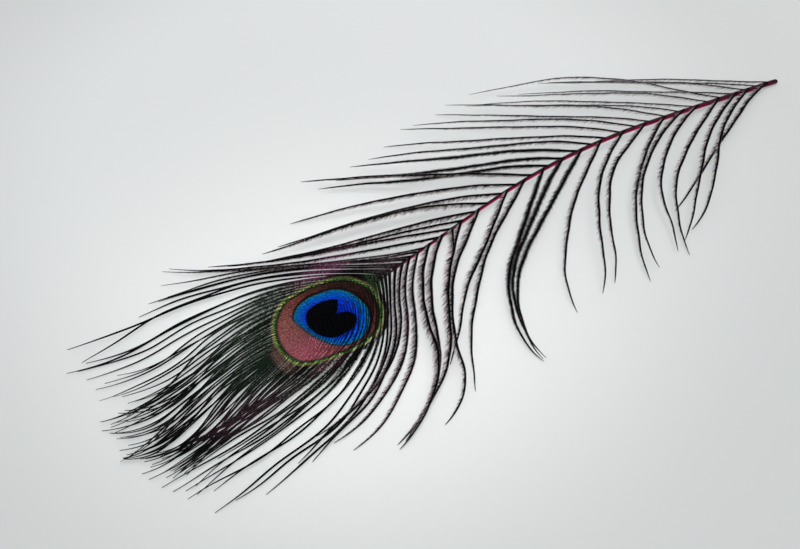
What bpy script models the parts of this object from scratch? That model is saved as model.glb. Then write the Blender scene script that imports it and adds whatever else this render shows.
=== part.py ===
"""Peacock eye feather lying on a table, as one closed solid.

A curved shaft, a thin vane around the eye, and the locks of barbs that grow from both sides of the shaft.
The tables are in millimetres and degrees, in the feather's own layout: x runs from the tip of the feather
towards the cut quill end, y to the upper side in plan, and the blue of the eye lies at x = 0, y = 0.
The finished mesh is in metres, and stands on the table at z = 0 under the centre of its own box.
"""
import math

import bmesh
import bpy

MM = 0.001

# Shaft, from the cut quill end to the point where it fades out behind the eye.
# Each row: x, y, height of the centre line, radius.
SHAFT_ROUTE = [
    (213.0, 0.0, 1.00, 1.00),
    (190.0, 3.8, 1.60, 0.98),
    (165.0, 7.6, 2.40, 0.93),
    (138.0, 11.4, 3.00, 0.86),
    (110.0, 13.0, 3.20, 0.78),
    (82.0, 12.0, 2.70, 0.70),
    (52.0, 8.9, 1.30, 0.60),
    (25.0, 5.6, 0.80, 0.50),
    (0.0, 1.4, 0.80, 0.42),
    (-24.0, -2.2, 0.80, 0.30),
]
SHAFT_SIDES = 8

# Vane around the eye, a flat sheet on the table. Each row: x, half width on either side of the shaft's line.
VANE_OUTLINE = [
    (44.0, 0.9),
    (36.0, 3.5),
    (26.0, 9.5),
    (16.0, 15.5),
    (6.0, 19.3),
    (-5.0, 21.0),
    (-16.0, 20.0),
    (-26.0, 15.5),
    (-33.0, 8.0),
]
VANE_THICKNESS = 0.9

# Zones of the eye, which are only colour: centre x, centre y, half length, half width.
EYE_ZONES = {
    "bronze_field": (-3.0, 0.8, 20.0, 15.8),
    "blue_patch": (-0.5, 0.2, 11.6, 12.5),
    "dark_heart": (-2.0, 0.0, 8.0, 7.8),
}
ZONE_CORNERS = 24

# Barbs. Each row: station on the shaft measured from the quill end, length, and the angle between the barb
# and the shaft's forward direction at its root, quarter, half, three quarters and tip.
LOWER_BARBS = [
    (5, 85, 20, 33, 31, 34, 26),
    (14, 85, 27, 36, 50, 47, 23),
    (20, 87, 29, 35, 47, 49, 39),
    (29, 87, 33, 33, 41, 61, 76),
    (39, 81, 24, 35, 46, 71, 66),
    (46, 87, 24, 34, 46, 63, 80),
    (55, 85, 34, 41, 51, 63, 76),
    (64, 84, 32, 31, 54, 66, 52),
    (74, 83, 31, 39, 54, 65, 45),
    (85, 85, 36, 36, 44, 54, 76),
    (94, 100, 30, 31, 34, 55, 83),
    (103, 98, 30, 33, 36, 66, 75),
    (113, 89, 33, 39, 34, 67, 78),
    (122, 97, 30, 27, 38, 46, 60),
    (131, 81, 34, 33, 29, 42, 36),
    (145, 94, 32, 30, 50, 62, 6),
    (154, 95, 36, 40, 54, 26, 14),
    (158, 12, 42, 46, 50, 52, 54),
    (163, 90, 31, 45, 60, 31, 5),
    (169, 88, 36, 51, 64, 29, 9),
    (175, 91, 36, 55, 44, 20, 0),
    (179, 91, 36, 54, 38, 17, 0),
    (183, 90, 36, 50, 30, 10, -2),
    (186, 92, 42, 46, 26, 4, -2),
    (189, 106, 54, 36, 17, -3, -2),
    (194, 107, 60, 27, 10, -8, -6),
    (200, 101, 66, 18, 1, -7, -8),
    (209, 92, 64, 9, -3, -5, -7),
    (219, 78, 52, 7, 5, 0, -8),
    (227, 71, 36, 6, 12, 5, -20),
    (233, 65, 18, 6, 14, 8, -26),
    (239, 59, 0, 5, 15, 9, -30),
]
UPPER_BARBS = [
    (4, 80, 22, 26, 28, 26, 24),
    (10, 84, 26, 23, 28, 31, 28),
    (16, 83, 30, 27, 27, 30, 27),
    (22, 86, 27, 24, 30, 27, 25),
    (28, 102, 36, 42, 31, 13, 14),
    (34, 84, 34, 29, 26, 28, 31),
    (41, 85, 31, 28, 31, 29, 24),
    (48, 84, 36, 27, 28, 32, 28),
    (55, 86, 38, 30, 28, 33, 31),
    (62, 84, 36, 27, 30, 34, 30),
    (69, 86, 40, 29, 27, 30, 24),
    (76, 85, 38, 27, 30, 33, 31),
    (83, 85, 38, 26, 28, 31, 27),
    (90, 85, 42, 22, 27, 30, 22),
    (97, 86, 34, 24, 26, 32, 28),
    (104, 86, 36, 22, 25, 33, 31),
    (111, 86, 36, 21, 28, 35, 30),
    (119, 86, 36, 33, 38, 37, 34),
    (127, 84, 40, 27, 27, 23, 20),
    (134, 84, 34, 22, 22, 18, 22),
    (141, 84, 36, 26, 22, 18, 22),
    (147, 84, 27, 20, 21, 28, 32),
    (153, 86, 24, 21, 25, 31, 37),
    (159, 87, 24, 23, 27, 34, 43),
    (165, 88, 25, 25, 30, 37, 46),
    (175, 88, 30, 34, 34, 34, 40),
    (180, 90, 38, 40, 34, 28, 28),
    (186, 99, 44, 42, 30, 20, 12),
    (189, 110, 50, 37, 24, 10, 2),
    (194, 111, 56, 31, 15, 6, 28),
    (200, 104, 60, 25, 6, 1, 30),
    (209, 95, 58, 16, -2, 0, 26),
    (219, 84, 48, 9, -7, -2, 30),
    (227, 75, 34, 4, -8, -5, 36),
    (233, 68, 17, 1, -10, -7, 36),
    (239, 61, 0, -4, -12, -9, 36),
]

# Stations where the broad locks around the vane grow, between the last of the single barbs and the shaft's
# end. The last lower one carries on straight from the shaft.
LOWER_FAN_STATIONS = [175, 180, 185, 188.5, 191, 194, 198, 203, 210, 219, 227, 232, 236, 239]
UPPER_FAN_STATIONS = [176, 182, 186, 189, 191.5, 194.5, 198, 204, 214, 224, 230, 235]
LAST_SINGLE_STATION = 170
VANE_OVERLAP = 3.0

LOCK_STEPS = 10
LOCK_THICKNESS = 0.7

# Widths of a lock at its root, where it is widest and at its tip, and the share of its length where it is
# widest.
SINGLE_WIDTHS = (0.8, 1.6, 0.5)
SINGLE_WIDEST = 0.2
FAN_WIDTHS = (2.6, 4.8, 1.0)
FAN_WIDEST = 0.5
LIFT = 2.2
TIP_HEIGHT = 0.45
LAYERS = 3
LAYER_GAP = 0.8
LAYERED_FROM = 0.3
FAN_LAYER_GAP = 0.1

COLOURS = {
    "dyed_shaft": (0.26, 0.015, 0.07, 0.45),
    "dark_barbs": (0.02, 0.018, 0.016, 0.7),
    "bronze_field": (0.22, 0.08, 0.06, 0.5),
    "blue_patch": (0.0, 0.06, 0.6, 0.4),
    "dark_heart": (0.002, 0.003, 0.01, 0.4),
}


def clear_scene():
    for item in list(bpy.data.objects):
        bpy.data.objects.remove(item, do_unlink=True)


def make_materials():
    """The feather's finishes, each a shader with its own colour and roughness."""
    made = []
    for name, (red, green, blue, roughness) in COLOURS.items():
        material = bpy.data.materials.new(name)
        material.use_nodes = True
        shader = material.node_tree.nodes["Principled BSDF"]
        shader.inputs["Base Color"].default_value = (red, green, blue, 1.0)
        shader.inputs["Roughness"].default_value = roughness
        shader.inputs["Metallic"].default_value = 0.0
        made.append(material)
    return made


def blend(low, high, share):
    return [a + (b - a) * share for a, b in zip(low, high)]


def smooth_route(rows, steps):
    """Rows read from a smooth curve that passes through every given row."""
    first = blend(rows[1], rows[0], 2.0)
    last = blend(rows[-2], rows[-1], 2.0)
    padded = [first] + [list(row) for row in rows] + [last]
    route = []
    for index in range(1, len(padded) - 2):
        before, start, end, after = padded[index - 1:index + 3]
        for step in range(steps):
            t = step / steps
            weights = (
                -0.5 * t + t * t - 0.5 * t ** 3,
                1.0 - 2.5 * t * t + 1.5 * t ** 3,
                0.5 * t + 2.0 * t * t - 1.5 * t ** 3,
                -0.5 * t * t + 0.5 * t ** 3,
            )
            columns = zip(before, start, end, after)
            route.append([sum(w * v for w, v in zip(weights, column)) for column in columns])
    route.append(list(rows[-1]))
    return route


def value_at(rows, key):
    """A row read between the rows of a table whose first column rises."""
    if key <= rows[0][0]:
        return list(rows[0])
    for low, high in zip(rows, rows[1:]):
        if key <= high[0]:
            return blend(low, high, (key - low[0]) / (high[0] - low[0]))
    return list(rows[-1])


def measured_shaft():
    """The shaft's route with its station in front: station, x, y, height, radius, forward direction."""
    route = smooth_route(SHAFT_ROUTE, 8)
    rows = []
    station = 0.0
    for index, row in enumerate(route):
        if index:
            station += math.dist(row[:2], route[index - 1][:2])
        low = route[max(index - 1, 0)]
        high = route[min(index + 1, len(route) - 1)]
        forward = math.atan2(high[1] - low[1], high[0] - low[0]) % math.tau
        rows.append([station, *row, forward])
    return rows


def shaft_line_y(shaft, x):
    """Where the shaft's line lies in y at a given x, with the line carried on past its end."""
    rows = sorted([row[1], row[2]] for row in shaft)
    return value_at(rows, x)[1]


def barb_path(shaft, row, side, steps):
    """Centre line of a barb in plan, found by walking along its changing direction."""
    station, length = row[0], row[1]
    bends = [[share / 4, angle] for share, angle in enumerate(row[2:])]
    _, x, y, _, _, forward = value_at(shaft, station)
    points = [(x, y)]
    for step in range(steps):
        share = (step + 0.5) / steps
        turn = math.radians(value_at(bends, share)[1])
        heading = forward + side * turn
        x += math.cos(heading) * length / steps
        y += math.sin(heading) * length / steps
        points.append((x, y))
    return points


def closed_loft(name, rings, material_index):
    """A closed object from rings of corners, each ring listed the same way round."""
    mesh = bpy.data.meshes.new(name)
    work = bmesh.new()
    loops = [[work.verts.new([value * MM for value in corner]) for corner in ring] for ring in rings]
    for low, high in zip(loops, loops[1:]):
        for index in range(len(low)):
            following = (index + 1) % len(low)
            work.faces.new((low[index], low[following], high[following], high[index]))
    work.faces.new(list(reversed(loops[0])))
    work.faces.new(loops[-1])
    bmesh.ops.recalc_face_normals(work, faces=work.faces)
    for face in work.faces:
        face.material_index = material_index
    work.to_mesh(mesh)
    work.free()
    made = bpy.data.objects.new(name, mesh)
    bpy.context.scene.collection.objects.link(made)
    return made


def make_shaft(shaft):
    """The tapered shaft, with a flat belly that follows its underside."""
    rings = []
    for _, x, y, height, radius, forward in shaft[::2]:
        across = (-math.sin(forward), math.cos(forward))
        ring = []
        for corner in range(SHAFT_SIDES):
            angle = math.tau * (corner + 0.5) / SHAFT_SIDES
            offset = radius * math.sin(angle)
            rise = max(radius * math.cos(angle) / math.cos(math.pi / SHAFT_SIDES), -radius)
            ring.append((x + across[0] * offset, y + across[1] * offset, height + rise))
        rings.append(ring)
    return closed_loft("shaft", rings, 0)


def make_vane(shaft):
    """The flat vane, whose upper face is divided into the zones of the eye."""
    half_widths = smooth_route(VANE_OUTLINE, 2)
    upper = [(x, shaft_line_y(shaft, x) + half) for x, half in half_widths]
    lower = [(x, shaft_line_y(shaft, x) - half) for x, half in reversed(half_widths)]
    outline = upper + lower
    rings = [[(x, y, level) for x, y in outline] for level in (0.0, VANE_THICKNESS)]
    vane = closed_loft("vane", rings, 1)
    work = bmesh.new()
    work.from_mesh(vane.data)
    for index, zone in enumerate(EYE_ZONES.values(), start=2):
        score_zone(work, zone, index)
    work.to_mesh(vane.data)
    work.free()
    return vane


def score_zone(work, zone, material_index):
    """Divide the face that holds a zone's centre by the zone's oval outline, and colour what is inside."""
    centre_x, centre_y, half_length, half_width = zone
    top = [face for face in work.faces if face.normal.z > 0.9]
    host = min(top, key=lambda face: face.calc_area())
    corners = []
    for corner in range(ZONE_CORNERS):
        angle = math.tau * corner / ZONE_CORNERS
        place = (centre_x + half_length * math.cos(angle), centre_y + half_width * math.sin(angle), VANE_THICKNESS)
        corners.append(work.verts.new([value * MM for value in place]))
    edges = [work.edges.new((a, b)) for a, b in zip(corners, corners[1:] + corners[:1])]
    rim = list(host.edges)
    host_index = host.material_index
    bmesh.ops.delete(work, geom=[host], context="FACES_ONLY")
    inside = work.faces.new(corners)
    inside.material_index = material_index
    ring = bmesh.ops.triangle_fill(work, use_beauty=True, edges=rim + edges)
    for face in ring["geom"]:
        if isinstance(face, bmesh.types.BMFace):
            face.material_index = host_index
    bmesh.ops.recalc_face_normals(work, faces=work.faces)


def inside_vane(shaft, x, y, margin):
    """Whether a place in plan lies on the vane, further from its edge than the margin."""
    rows = sorted([row[0], row[1]] for row in VANE_OUTLINE)
    if not rows[0][0] + margin < x < rows[-1][0] - margin:
        return False
    return abs(y - shaft_line_y(shaft, x)) < value_at(rows, x)[1] - margin


def lock_width(share, widths, widest):
    """Width of a lock at a share of its length: it widens from its root, then tapers to its tip."""
    root, full, tip = widths
    if share < widest:
        return root + (full - root) * share / widest
    return full + (tip - full) * ((share - widest) / (1.0 - widest)) ** 2


def make_lock(name, points, heights, widths):
    """A lock of barbs: a flat strip with a ridge along its middle, above and below."""
    rings = []
    for index, (x, y) in enumerate(points):
        low = points[max(index - 1, 0)]
        high = points[min(index + 1, len(points) - 1)]
        heading = math.atan2(high[1] - low[1], high[0] - low[0])
        across = (-math.sin(heading), math.cos(heading))
        half = widths[index] / 2
        level = heights[index]
        rings.append([
            (x - across[0] * half, y - across[1] * half, level),
            (x, y, level - LOCK_THICKNESS / 2),
            (x + across[0] * half, y + across[1] * half, level),
            (x, y, level + LOCK_THICKNESS / 2),
        ])
    return closed_loft(name, rings, 1)


def single_lock(shaft, row, side, layer, name):
    """A single barb with its fringe, which leaves the shaft, arches over and comes down towards its tip.

    Neighbours lie in different layers, so that those that cross pass over one another.
    """
    points = barb_path(shaft, row, side, LOCK_STEPS)
    root_height = value_at(shaft, row[0])[3]
    shares = [step / LOCK_STEPS for step in range(LOCK_STEPS + 1)]
    heights = []
    for share in shares:
        fall = root_height * (1.0 - share) ** 1.5
        spread = min(share / LAYERED_FROM, 1.0) * layer * LAYER_GAP
        heights.append(fall + LIFT * math.sin(math.pi * share) + TIP_HEIGHT * share + spread)
    widths = [lock_width(share, SINGLE_WIDTHS, SINGLE_WIDEST) for share in shares]
    return make_lock(name, points, heights, widths)


def fan_lock(shaft, row, side, layer, name):
    """A broad lock that starts inside the vane's edge, or on the shaft above it, and narrows to its tip."""
    points = barb_path(shaft, row, side, 3 * LOCK_STEPS)
    covered = [index for index, (x, y) in enumerate(points) if inside_vane(shaft, x, y, VANE_OVERLAP)]
    level = TIP_HEIGHT + layer * FAN_LAYER_GAP
    root_height = level if covered else value_at(shaft, row[0])[3]
    points = points[max(covered, default=0)::2]
    shares = [index / (len(points) - 1) for index in range(len(points))]
    heights = [level + (root_height - level) * (1.0 - share) ** 3 for share in shares]
    widths = [lock_width(share, FAN_WIDTHS, FAN_WIDEST) for share in shares]
    return make_lock(name, points, heights, widths)


def make_locks(shaft):
    """Every lock on both sides of the shaft."""
    locks = []
    sides = (
        (1, LOWER_BARBS, LOWER_FAN_STATIONS, "lower"),
        (-1, UPPER_BARBS, UPPER_FAN_STATIONS, "upper"),
    )
    for side, table, fan_stations, label in sides:
        for index, row in enumerate(table):
            if row[0] < LAST_SINGLE_STATION:
                locks.append(single_lock(shaft, row, side, index % LAYERS, f"{label}_{row[0]}"))
        for index, station in enumerate(fan_stations):
            row = value_at(table, station)
            locks.append(fan_lock(shaft, row, side, index % 2, f"{label}_fan_{station}"))
    return locks


def fuse(base, others, name):
    """One closed body made of the base and everything that grows from it."""
    group = bpy.data.collections.new("growth")
    bpy.context.scene.collection.children.link(group)
    for item in others:
        bpy.context.scene.collection.objects.unlink(item)
        group.objects.link(item)
    union = base.modifiers.new("union", "BOOLEAN")
    union.operation = "UNION"
    union.operand_type = "COLLECTION"
    union.collection = group
    union.solver = "EXACT"
    graph = bpy.context.evaluated_depsgraph_get()
    mesh = bpy.data.meshes.new_from_object(base.evaluated_get(graph))
    for item in [base, *others]:
        bpy.data.objects.remove(item, do_unlink=True)
    bpy.data.collections.remove(group)
    mesh.name = name
    fused = bpy.data.objects.new(name, mesh)
    bpy.context.scene.collection.objects.link(fused)
    return fused


def fill_pockets(item):
    """Remove the skin of any pocket that crossing locks shut between them, so that the pocket is filled."""
    work = bmesh.new()
    work.from_mesh(item.data)
    waiting = set(work.faces)
    shells = []
    while waiting:
        first = waiting.pop()
        shell = {first}
        front = [first]
        while front:
            for edge in front.pop().edges:
                fresh = [face for face in edge.link_faces if face in waiting]
                waiting.difference_update(fresh)
                shell.update(fresh)
                front.extend(fresh)
        shells.append(shell)
    outer = max(shells, key=len)
    pockets = [face for face in work.faces if face not in outer]
    bmesh.ops.delete(work, geom=pockets, context="FACES")
    work.to_mesh(item.data)
    work.free()


def centre_on_table(item):
    """Move the mesh so that the middle of its box is over the origin and its lowest point is at z = 0."""
    places = [corner.co for corner in item.data.vertices]
    low = [min(place[axis] for place in places) for axis in range(3)]
    high = [max(place[axis] for place in places) for axis in range(3)]
    shift = ((low[0] + high[0]) / 2, (low[1] + high[1]) / 2, low[2])
    for corner in item.data.vertices:
        corner.co = [corner.co[axis] - shift[axis] for axis in range(3)]
    return shift


def main():
    clear_scene()
    materials = make_materials()
    shaft = measured_shaft()
    pieces = [make_shaft(shaft), make_vane(shaft), *make_locks(shaft)]
    for piece in pieces:
        for material in materials:
            piece.data.materials.append(material)
    feather = fuse(pieces[0], pieces[1:], "feather")
    fill_pockets(feather)
    centre_on_table(feather)


if __name__ == "__main__":
    main()
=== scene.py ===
"""Peacock eye feather with a dyed shaft, lying on a pale table: every barb, barbule and colour of it.

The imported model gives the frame. The tables are in millimetres and degrees, in the feather's own layout: x
runs from the tip of the feather towards the cut quill end, y to the upper side in plan, and the blue of the
eye lies at x = 0, y = 0. Finished pieces are in metres, in the frame of the model.
"""

import math
import random

import bpy
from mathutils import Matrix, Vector


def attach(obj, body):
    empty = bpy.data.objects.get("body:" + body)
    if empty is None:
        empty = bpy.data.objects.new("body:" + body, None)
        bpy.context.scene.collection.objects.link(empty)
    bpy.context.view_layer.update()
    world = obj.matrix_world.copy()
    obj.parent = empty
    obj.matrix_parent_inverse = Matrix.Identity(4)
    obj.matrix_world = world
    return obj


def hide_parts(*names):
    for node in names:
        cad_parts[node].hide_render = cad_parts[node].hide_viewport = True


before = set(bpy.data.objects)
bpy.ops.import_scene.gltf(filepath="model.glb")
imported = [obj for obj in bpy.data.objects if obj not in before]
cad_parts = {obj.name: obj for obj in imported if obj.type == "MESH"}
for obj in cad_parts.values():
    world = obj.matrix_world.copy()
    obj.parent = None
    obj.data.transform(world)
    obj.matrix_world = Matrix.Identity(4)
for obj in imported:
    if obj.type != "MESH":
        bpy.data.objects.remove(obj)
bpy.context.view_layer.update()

bl_info = {
    "name": "Peacock feather",
    "version": (1, 0, 0),
    "blender": (4, 5, 0),
    "location": "3D View > Sidebar > Feather",
    "description": "Grows a peacock eye feather barb by barb over its solid",
    "category": "Add Mesh",
}

MM = 0.001

# Where the frame's origin lies in the layout.
ORIGIN_IN_LAYOUT = (63.80, 4.33)

# Shaft, from the cut quill end to the point where it fades out behind the eye.
# Each row: x, y, height of the centre line, radius.
SHAFT_ROUTE = [
    (213.0, 0.0, 1.00, 1.00),
    (190.0, 3.8, 1.60, 0.98),
    (165.0, 7.6, 2.40, 0.93),
    (138.0, 11.4, 3.00, 0.86),
    (110.0, 13.0, 3.20, 0.78),
    (82.0, 12.0, 2.70, 0.70),
    (52.0, 8.9, 1.30, 0.60),
    (25.0, 5.6, 0.80, 0.50),
    (0.0, 1.4, 0.80, 0.42),
    (-24.0, -2.2, 0.80, 0.30),
]
# Rounding of the quill end: distance from the cut, and share of the radius there.
QUILL_END = ((0.0, 0.5), (0.12, 0.78), (0.4, 0.95))
QUILL_ROUNDED_TO = 0.8

# Barbs. Each row: station on the shaft measured from the quill end, length, and the angle between the barb
# and the shaft's forward direction at its root, quarter, half, three quarters and tip.
LOWER_BARBS = [
    (5, 85, 20, 33, 31, 34, 26),
    (14, 85, 27, 36, 50, 47, 23),
    (20, 87, 29, 35, 47, 49, 39),
    (29, 87, 33, 33, 41, 61, 76),
    (39, 81, 24, 35, 46, 71, 66),
    (46, 87, 24, 34, 46, 63, 80),
    (55, 85, 34, 41, 51, 63, 76),
    (64, 84, 32, 31, 54, 66, 52),
    (74, 83, 31, 39, 54, 65, 45),
    (85, 85, 36, 36, 44, 54, 76),
    (94, 104, 31, 33, 31, 54, 98),
    (103, 98, 27, 36, 33, 60, 91),
    (113, 91, 36, 36, 36, 61, 96),
    (122, 97, 30, 27, 38, 46, 60),
    (131, 81, 34, 33, 29, 42, 36),
    (145, 94, 32, 30, 50, 62, 6),
    (154, 95, 36, 40, 54, 26, 14),
    (158, 12, 42, 46, 50, 52, 54),
    (163, 90, 31, 45, 60, 31, 5),
    (169, 88, 33, 50, 65, 30, 9),
    (175, 91, 35, 55, 43, 19, 0),
    (179, 91, 37, 55, 38, 17, 0),
    (182, 90, 38, 54, 31, 10, -3),
    (185, 91, 42, 53, 28, 6, -3),
    (188, 96, 48, 50, 24, 2, -3),
    (191, 102, 55, 44, 20, -1, -4),
    (194, 106, 60, 34, 11, -7, -6),
    (200, 101, 66, 21, 2, -7, -8),
    (209, 92, 64, 9, -3, -5, -7),
    (219, 78, 52, 7, 5, 0, -8),
    (227, 71, 36, 6, 12, 5, -20),
    (233, 65, 18, 6, 14, 8, -26),
    (239, 59, 0, 5, 15, 9, -30),
]
UPPER_BARBS = [
    (4, 80, 22, 26, 28, 26, 24),
    (10, 84, 26, 23, 28, 31, 28),
    (16, 83, 30, 27, 27, 30, 27),
    (22, 86, 27, 24, 30, 27, 25),
    (28, 102, 36, 42, 31, 13, 14),
    (34, 84, 34, 29, 26, 28, 31),
    (41, 85, 31, 28, 31, 29, 24),
    (48, 84, 36, 27, 28, 32, 28),
    (55, 86, 38, 30, 28, 33, 31),
    (62, 84, 36, 27, 30, 34, 30),
    (69, 86, 40, 29, 27, 30, 24),
    (76, 85, 38, 27, 30, 33, 31),
    (83, 85, 38, 26, 28, 31, 27),
    (90, 85, 42, 22, 27, 30, 22),
    (97, 86, 34, 24, 26, 32, 28),
    (104, 86, 36, 22, 25, 33, 31),
    (111, 86, 36, 21, 28, 35, 30),
    (119, 86, 36, 33, 38, 37, 34),
    (127, 84, 40, 27, 27, 23, 20),
    (134, 84, 34, 22, 22, 18, 22),
    (141, 84, 36, 26, 22, 18, 22),
    (147, 84, 27, 20, 21, 28, 32),
    (153, 86, 24, 21, 25, 31, 37),
    (159, 87, 24, 23, 27, 34, 43),
    (165, 88, 25, 25, 30, 37, 46),
    (175, 88, 30, 34, 34, 34, 40),
    (180, 90, 38, 40, 34, 28, 28),
    (186, 99, 44, 42, 30, 20, 12),
    (189, 110, 50, 37, 24, 10, 2),
    (194, 111, 56, 31, 15, 6, 28),
    (200, 104, 60, 25, 6, 1, 30),
    (209, 95, 58, 16, -2, 0, 26),
    (219, 84, 48, 9, -7, -2, 30),
    (227, 75, 34, 4, -8, -5, 36),
    (233, 68, 17, 1, -10, -7, 36),
    (239, 61, 0, -4, -12, -9, 36),
]
SIDES = {"lower": (1, LOWER_BARBS), "upper": (-1, UPPER_BARBS)}

# Heights of the loose barbs, which leave the shaft, arch over and come down in three layers.
LIFT = 2.2
TIP_HEIGHT = 0.45
LAYERS = 3
LAYER_GAP = 0.8
LAYERED_FROM = 0.3

# The single barbs end and the fan begins at the first station. Up to the second, its barbs stand apart as in
# the table, and beyond it they are set close together, up to the last one.
FAN_FROM = 172.0
KNITTED_FROM = {"lower": 190.2, "upper": 172.0}
FAN_TO = 239.0
# Between these stations the barbs beside the eye knit more and more.
KNITTED_FULLY = (189.0, 198.0)
# Distance between the fan's barbs along the shaft, as a factor on their usual distance.
CROWDING = {
    "lower": [(190, 1.6), (199, 1.2), (206, 1.1), (214, 1.0), (239, 1.0)],
    "upper": [(168, 2.8), (186, 2.3), (193, 1.5), (198, 1.15), (204, 1.1), (239, 1.05)],
}
# Up to this station the fan's barbs keep their own course, and beyond it they stick together in clumps.
CLUMPED_FROM = {"lower": 207.0, "upper": 178.0}
CLUMP_SIZES = (1, 2, 2, 3, 3, 4)
# Each side's fan is drawn on its own: what is added to the seed for it.
FAN_DRAWS = {"lower": 11, "upper": 12}
# Usual lean of a clump and of each barb in it, in degrees; the share of the clumps that stray, and how far
# they lean; and how much of its lean a barb has at its root, quarter, half, three quarters and tip.
CLUMP_LEAN = 2.2
OWN_LEAN = 3.0
STRAY_SHARE = 0.12
STRAY_LEAN = (-13.0, -8.0)
CLUMP_TURNS = (0.0, 0.0, 0.3, 1.0, 2.0)
# Most that a clump draws together, as a share of the way to its middle, and the draw of a barb's length.
CLUMP_PULL = 0.65
LENGTH_DRAW = (0.84, 1.02)

# Heights round the eye: the shaft sinks to the first under it, the web lies on the second and the barbs on
# the third, and they come down to the last beyond the eye.
EYE_SHAFT_HEIGHT = 0.34
WEB_HEIGHT = 0.62
KNITTED_HEIGHT = 0.86
FAN_HEIGHT = 0.5
# The shaft's radius under the eye, and the places in x between which it is sunk wholly and not at all.
EYE_SHAFT_RADIUS = 0.26
SUNK_BETWEEN = (16.0, 34.0)
# The web's loops from its middle outwards, as a factor on the ring and a depth below its height.
WEB_LOOPS = ((0.45, 0.0), (0.85, 0.02), (1.1, 0.12))
WEB_THICKNESS = 0.07

# Barbules along the shaft. Each row: station, length on the side towards the tip and on the side towards the
# quill, and the distance between them.
BARBULES = [
    (0, 2.8, 1.0, 0.05),
    (60, 2.8, 1.0, 0.048),
    (88, 2.6, 1.1, 0.046),
    (94, 2.3, 1.7, 0.028),
    (113, 2.3, 1.7, 0.028),
    (122, 3.0, 1.1, 0.045),
    (145, 3.7, 1.0, 0.04),
    (168, 3.7, 1.0, 0.04),
    (180, 3.2, 0.8, 0.042),
    (187, 2.0, 0.6, 0.06),
    (194, 0.9, 0.4, 0.15),
    (200, 0.36, 0.3, 0.19),
    (239, 0.34, 0.3, 0.19),
]
# How far the barbules' ends shine lilac, from the quill to the eye.
FRINGE = [
    (0, 1.0), (88, 0.9), (95, 0.08), (113, 0.15), (124, 1.0), (154, 0.9), (168, 0.65), (180, 0.35),
    (188, 0.2), (196, 0.0),
]
# Beyond the station, the upper side's barbules have this share of that length.
UPPER_TRIM = 0.55
TRIMMED_FROM = 150.0
# The upper side's barbs are thinner and paler, with fewer barbules, up to the first station, and like the
# others from the second.
BLEACHED_BETWEEN = (40.0, 110.0)
# Share of the barbules' length from the root of a barb to its tip.
BARBULE_TAPER = [(0.0, 0.4), (0.05, 0.85), (0.12, 1.0), (0.55, 0.95), (0.75, 0.6), (0.92, 0.3), (1.0, 0.1)]

# Radius of the barb's own stem from its root to its tip.
LOOSE_STEM = [(0.0, 0.55), (0.05, 0.44), (0.5, 0.4), (0.8, 0.33), (0.95, 0.24), (1.0, 0.08)]
FAN_STEM = [(0.0, 0.5), (0.06, 0.34), (0.2, 0.25), (0.5, 0.25), (0.85, 0.23), (1.0, 0.08)]
BARB_STEPS = 60
# Least half width of a knitted strip in the eye and where the barbs have parted, how far its root lies over
# the shaft, and how many steps of its neighbour are looked at to either side for the gap between them.
THINNEST_KNIT = 0.25
THINNEST_STRAND = 0.2
ROOT_OVERLAP = 0.7
GAP_WINDOW = 14

# Outlines of the eye's zones, taken once round from the quill side, and the point they are measured from.
EYE_CENTRE = (-2.0, 0.0)
RING = [
    (17.2, 3.7), (16.1, 7.0), (14.0, 10.9), (11.1, 13.5), (7.0, 15.3), (2.3, 16.2), (-5.2, 16.6),
    (-10.6, 16.1), (-15.3, 13.4), (-18.3, 10.6), (-20.9, 6.6), (-22.7, 1.5), (-23.1, -3.8), (-21.7, -8.6),
    (-18.6, -11.5), (-15.7, -12.8), (-10.4, -14.1), (-4.7, -14.9), (1.4, -15.2), (7.0, -14.3),
    (11.4, -11.7), (14.9, -7.5), (16.7, -2.0),
]
BLUE = [
    (11.0, -0.2), (10.5, 3.6), (9.0, 7.2), (6.2, 10.0), (3.2, 11.2), (-0.1, 11.8), (-3.8, 12.0), (-7.8, 11.0),
    (-11.4, 8.2), (-12.2, 5.1), (-11.6, 1.6), (-10.6, -2.4), (-8.9, -6.0), (-6.6, -9.6), (-4.4, -11.5),
    (-0.1, -12.6), (2.6, -12.4), (5.2, -11.4), (7.3, -9.6), (9.4, -7.0), (11.2, -2.4),
]
HEART = [
    (0.8, 0.7), (3.1, 3.2), (4.6, 5.6), (3.0, 6.9), (-0.2, 8.0), (-4.0, 8.1), (-7.0, 6.9), (-8.8, 4.4),
    (-9.7, 1.4), (-9.3, -1.4), (-8.0, -4.3), (-6.2, -6.5), (-3.8, -7.6), (-0.7, -7.7), (2.8, -7.3),
    (4.7, -6.2), (6.3, -3.6), (5.7, -1.9), (3.6, -0.1),
]
OUTLINE_REACH = 30.0

# Patches of colour in the plumage round the eye: x, y, half length, half width, strength, colour.
GLOWS = [
    (-34.0, 4.0, 24.0, 22.0, 0.7, "#15271b"),
    (-20.0, 20.0, 18.0, 9.0, 0.8, "#1c2d25"),
    (-23.5, -5.0, 4.0, 8.0, 0.7, "#7a5650"),
    (-12.0, -15.5, 9.0, 2.6, 0.6, "#704650"),
    (7.0, 19.5, 17.0, 5.5, 0.9, "#6c4058"),
    (27.0, 9.0, 10.0, 6.0, 0.6, "#4a3c42"),
    (19.0, 4.0, 3.5, 9.0, 0.7, "#33482c"),
    (-42.0, -17.0, 24.0, 8.0, 0.3, "#5a3a4a"),
]
# Colours across the eye's rim, by the share of the way from the centre to the ring, and the same beyond it.
RIM_COLOURS = [
    (0.89, "#241416"),
    (0.92, "#0d080c"),
    (0.946, "#24502c"),
    (0.965, "#5a9446"),
    (0.982, "#a8a65a"),
    (1.0, "#9a8664"),
]
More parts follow.
